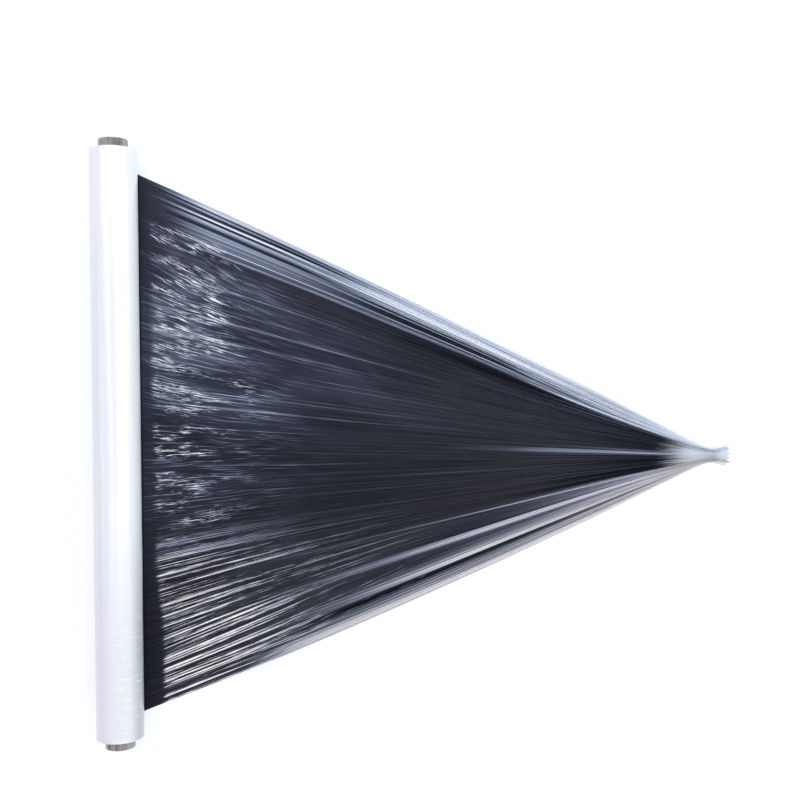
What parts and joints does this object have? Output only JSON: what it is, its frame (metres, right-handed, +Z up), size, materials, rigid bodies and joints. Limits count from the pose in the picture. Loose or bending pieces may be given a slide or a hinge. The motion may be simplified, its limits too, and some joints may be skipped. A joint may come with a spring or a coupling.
{
  "type": "concrete curing film roll",
  "caption": "Roll of clear concrete curing film wound on a paper core, lying on its side, with its free end pulled out flat and gathered to a narrow pleated neck.",
  "frame": {"origin": "on the floor, at the middle of the flat on the roll's underside, under the core's axis and halfway along it", "axes": "+Y along the core's bore, +X from the roll towards the pulled-out end of the film, +Z up"},
  "size_m": [1.1399, 1.032, 0.0795],
  "materials": {
    "core_board": "smooth grey-brown paper board, slightly glossy",
    "clear_film": "glossy clear polyethylene film, milky white where its turns lie on each other"
  },
  "bodies": {
    "root": {"core": "core_board", "film": "clear_film"}
  },
  "joints": []
}
